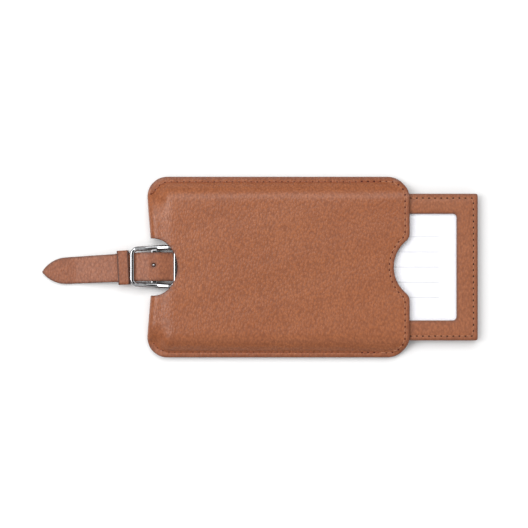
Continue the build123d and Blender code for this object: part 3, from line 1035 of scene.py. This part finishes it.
def leg(rise, slot_z):
    """Side view of one leg, from the buckle to the slot."""
    low = LEG_Z + rise
    return [
        (BAR_LEFT + CROWN_START, low),
        (BUCKLE_X - CROWN, low + RISE),
        (BUCKLE_X + CROWN, low + RISE),
        (BAR_RIGHT - CROWN_START, low),
        (BAR_RIGHT + BAR, low),
        (-23.0, slot_z),
        (LOOP_X, slot_z),
    ]


lower_leg = [(-68.2, LEG_Z)] + leg(0, LOOP_Z - LOOP_RADIUS)
upper_leg = leg(LEGS, LOOP_Z + LOOP_RADIUS)[::-1] + [(-68.0, LEG_Z + LEGS), (-85.0, 1.2), (TIP_REACH, 1.2)]
strap_side = divide(
    join(
        rounded(lower_leg, [5.0] * len(lower_leg), 0.5),
        arc((LOOP_X, LOOP_Z), LOOP_RADIUS, -90, 90, 0.3),
        rounded(upper_leg, [5.0] * len(upper_leg), 0.5),
    ),
    0.8,
)
side_steps = np.r_[0, np.cumsum(np.hypot(*np.diff(strap_side, axis=0).T))]
side_slope = np.gradient(strap_side, side_steps, axis=0)
side_slope /= np.hypot(*side_slope.T)[:, None]
STRAP_RUN = side_steps[-1]


def tail_line(x):
    """Middle of the strap across the tag, and the tail's turn, at a place along it."""
    share = np.clip((TAIL_BEND[0] - x) / (TAIL_BEND[0] - TAIL_BEND[1]), 0, 1)
    span = TAIL_BEND[0] - TAIL_BEND[1]
    shift = span * (share ** 3 - share ** 4 / 2) + np.maximum(TAIL_BEND[1] - x, 0)
    return STRAP_Y - math.tan(TAIL_YAW) * shift, TAIL_YAW * smooth(share)


def strap_place(start_depth):
    """Lays the strap's flat plan, s along and v across, at a depth below its outer face."""

    def place(s, v, depth):
        x = np.interp(s, side_steps, strap_side[:, 0])
        z = np.interp(s, side_steps, strap_side[:, 1])
        run_x = np.interp(s, side_steps, side_slope[:, 0])
        run_z = np.interp(s, side_steps, side_slope[:, 1])
        size = np.hypot(run_x, run_z)
        total = start_depth + depth
        x = x - total * run_z / size
        z = z + total * run_x / size
        middle, turn = tail_line(x)
        return np.column_stack((x - v * np.sin(turn), middle + v * np.cos(turn), z))

    return place


def strap_ring(margin):
    """Flat plan of the strap with its pointed end."""
    half = STRAP_WIDTH / 2 - margin
    point_half = POINT_WIDTH / 2 - margin
    tip = STRAP_RUN - margin
    bend = (POINT ** 2 + point_half ** 2) / (2 * point_half)
    shoulder = tip - POINT
    turn = math.degrees(math.asin(POINT / bend))
    taper_start = STRAP_RUN - TAIL_LENGTH
    upper = join([(taper_start, half)], arc((shoulder, point_half - bend), bend, 90, 90 - turn, 0.6))
    lower = (upper * (1, -1))[::-1]
    return divide(join([(margin, half)], upper, lower, [(margin, -half)])[::-1], 0.9, closed=True)


def peg_holes():
    """Holes for the buckle's peg, one in each leg."""
    at_peg = np.flatnonzero(np.diff(np.sign(strap_side[:, 0] - BUCKLE_X)))
    across = (peg_low[1] + peg_high[1]) / 2 - STRAP_Y
    return [arc((side_steps[i] + 0.35, across), PEG_HOLE, 0, 330, 0.3) for i in at_peg]


for name, start, thick, radius, margin, material, slot in (
    ("strap_leather", 0.0, STRAP_LEATHER - 0.01, 0.26, 0.0, strap_tan, "strap_leather"),
    ("strap_lining", STRAP_LEATHER + 0.01, STRAP_BACKING - 0.02, 0.12, 0.05, backing, "strap_backing"),
):
    layer = Solid()
    sheet(layer, [strap_ring(margin)] + peg_holes(), thick, radius, 0.8, strap_place(start))
    layer.piece(name + "_band", material, "strap", slot, name)


# Buckle: a rounded frame arched down to a low centre bar
BUCKLE_HALF = (buckle_high[0] - buckle_low[0]) / 2
END_Z = 4.3
ARCH_LOW = 1.85
NARROW, WIDE = 8.4, 9.2
arch_half = BUCKLE_HALF - BAR
sagitta = END_Z - ARCH_LOW
arch_radius = (arch_half ** 2 + sagitta ** 2) / (2 * sagitta)


def arch_z(x):
    """Height of the frame's underside along the tag."""
    reach = np.clip(np.abs(x - BUCKLE_X), 0, arch_half)
    return ARCH_LOW + arch_radius - np.sqrt(arch_radius ** 2 - reach ** 2)


frame_line = divide(
    rounded(
        [
            (BUCKLE_X - BUCKLE_HALF + BAR / 2, STRAP_Y - NARROW + RAIL / 2),
            (BUCKLE_X + BUCKLE_HALF - BAR / 2, STRAP_Y - WIDE + RAIL / 2),
            (BUCKLE_X + BUCKLE_HALF - BAR / 2, STRAP_Y + WIDE - RAIL / 2),
            (BUCKLE_X - BUCKLE_HALF + BAR / 2, STRAP_Y + NARROW - RAIL / 2),
        ],
        [2.5] * 4,
        0.25,
        closed=True,
    ),
    0.5,
    closed=True,
)
frame_heights = arch_z(frame_line[:, 0]) + BAR_HEIGHT / 2
for _ in range(3):
    frame_heights = (np.roll(frame_heights, 1) + 2 * frame_heights + np.roll(frame_heights, -1)) / 4
frame_path = np.column_stack((frame_line, frame_heights))
frame_along = np.roll(frame_path, -1, 0) - np.roll(frame_path, 1, 0)
frame_along /= np.linalg.norm(frame_along, axis=1)[:, None]
frame_across = np.column_stack((-frame_along[:, 1], frame_along[:, 0], np.zeros(len(frame_along))))
frame_across /= np.linalg.norm(frame_across, axis=1)[:, None]
frame_up = np.cross(frame_along, frame_across)
buckle = Solid()
sweep(buckle, frame_path, frame_across, frame_up, section(BAR - 0.06, BAR_HEIGHT, 0.72, 8), closed=True)
bar_y = np.linspace(-1, 1, 25) * (WIDE + NARROW - 2 * RAIL + 1.0) / 2 + STRAP_Y
bar_path = np.column_stack((np.full(25, BUCKLE_X), bar_y, np.full(25, ARCH_LOW + 0.65)))
sweep(
    buckle,
    bar_path,
    np.tile((1.0, 0.0, 0.0), (25, 1)),
    np.tile((0.0, 0.0, 1.0), (25, 1)),
    section(2.6, 1.3, 0.45, 5),
)
buckle.piece("buckle_ring", chrome, "strap", "polished_metal", "buckle_frame")


# Keeper: a leather band round both legs
KEEPER_LENGTH = 4.8
KEEPER_LEATHER = 0.7
KEEPER_WIDTH = 14.4
keeper_x = (keeper_low[0] + keeper_high[0]) / 2
keeper_middle = tail_line(np.array([keeper_x]))[0]
keeper_width = KEEPER_WIDTH - KEEPER_LEATHER
keeper_rise = keeper_high[2] - keeper_low[2] - KEEPER_LEATHER
keeper_line = divide(
    rounded_box((-keeper_width / 2, -keeper_rise / 2), (keeper_width / 2, keeper_rise / 2), 0.75, 0.15),
    0.7,
    closed=True,
)
across_tail = np.array((-math.sin(TAIL_YAW), math.cos(TAIL_YAW), 0.0))
along_tail = np.array((math.cos(TAIL_YAW), math.sin(TAIL_YAW), 0.0))
keeper_centre = np.array((keeper_x, keeper_middle[0], (keeper_low[2] + keeper_high[2]) / 2))
keeper_path = (
    keeper_centre + np.outer(keeper_line[:, 0], across_tail) + np.outer(keeper_line[:, 1], (0.0, 0.0, 1.0))
)
keeper_normal = inset(turned(keeper_line), -1.0) - turned(keeper_line)
keeper_up = np.outer(keeper_normal[:, 0], across_tail) + np.outer(keeper_normal[:, 1], (0.0, 0.0, 1.0))
keeper_up /= np.linalg.norm(keeper_up, axis=1)[:, None]
band = section(KEEPER_LENGTH, KEEPER_LEATHER, 0.24, 4)
band = divide(band, 0.7, closed=True)
worn = np.tile(np.where(np.abs(band[:, 0]) > KEEPER_LENGTH / 2 - 0.3, 1.0, 0.15), len(keeper_path))
keeper = Solid()
sweep(
    keeper,
    keeper_path,
    np.tile(along_tail, (len(keeper_path), 1)),
    keeper_up,
    band,
    closed=True,
    edge=worn,
)
keeper.piece("keeper_band", strap_tan, "keeper", "strap_leather", "keeper_loop")


# Floor, light and camera
floor_mesh = bpy.data.meshes.new("floor")
FLOOR_REACH, FLOOR_Z = 8.0, -0.0003
floor_corners = [(x * FLOOR_REACH, y * FLOOR_REACH, FLOOR_Z) for x, y in ((-1, -1), (1, -1), (1, 1), (-1, 1))]
floor_mesh.from_pydata(floor_corners, [], [(0, 1, 2, 3)])
floor = bpy.data.objects.new("floor", floor_mesh)
bpy.context.scene.collection.objects.link(floor)
floor_finish = Finish("floor_paper")
floor_finish.set(Base_Color=(0.86, 0.86, 0.86, 1.0), Roughness=0.9, Specular_IOR_Level=0.1)
floor_mesh.materials.append(floor_finish.material)


def soft_light(name, place, size, watts, target=(0.0, 0.0, 0.0)):
    """A soft square lamp aimed at a point. Places are in metres."""
    data = bpy.data.lights.new(name, "AREA")
    data.shape = "RECTANGLE"
    data.size, data.size_y = size
    data.energy = watts
    lamp = bpy.data.objects.new(name, data)
    lamp.location = place
    direction = np.array(target) - np.array(place)
    lamp.rotation_euler = Vector(direction).to_track_quat("-Z", "Y").to_euler()
    bpy.context.scene.collection.objects.link(lamp)
    return lamp


soft_light("key", (-0.1, 1.1, 2.0), (2.0, 1.5), 25.0)
soft_light("side", (-1.1, 0.1, 1.6), (0.8, 1.2), 17.0)

world = bpy.data.worlds.new("studio")
bpy.context.scene.world = world
world.use_nodes = True
tree = world.node_tree
background = tree.nodes["Background"]
source = tree.nodes.new("ShaderNodeTexCoord")
split = tree.nodes.new("ShaderNodeSeparateXYZ")
ramp = tree.nodes.new("ShaderNodeValToRGB")
tree.links.new(source.outputs["Generated"], split.inputs[0])
tree.links.new(split.outputs["Z"], ramp.inputs[0])
# Height on the sky's sphere and brightness there
SKY = ((0.0, 0.06), (0.3, 0.08), (0.48, 0.75), (0.82, 0.85), (0.93, 0.4), (1.0, 0.06))
while len(ramp.color_ramp.elements) < len(SKY):
    ramp.color_ramp.elements.new(0.5)
for stop, (height, level) in zip(ramp.color_ramp.elements, SKY):
    stop.position = height
    stop.color = (level, level, level, 1.0)
tree.links.new(ramp.outputs[0], background.inputs["Color"])
background.inputs["Strength"].default_value = 1.0

camera_data = bpy.data.cameras.new("camera")
camera_data.lens = 100.0
camera_data.sensor_width = 36.0
camera = bpy.data.objects.new("camera", camera_data)
FRAME_WIDTH = 221.8
VIEW_X, VIEW_Y, VIEW_Z = -5.88, 1.3, 3.0
camera_z = FRAME_WIDTH * camera_data.lens / camera_data.sensor_width + VIEW_Z
camera.location = (VIEW_X * MM, VIEW_Y * MM, camera_z * MM)
bpy.context.scene.collection.objects.link(camera)
bpy.context.scene.camera = camera
bpy.context.scene.view_settings.view_transform = "Standard"
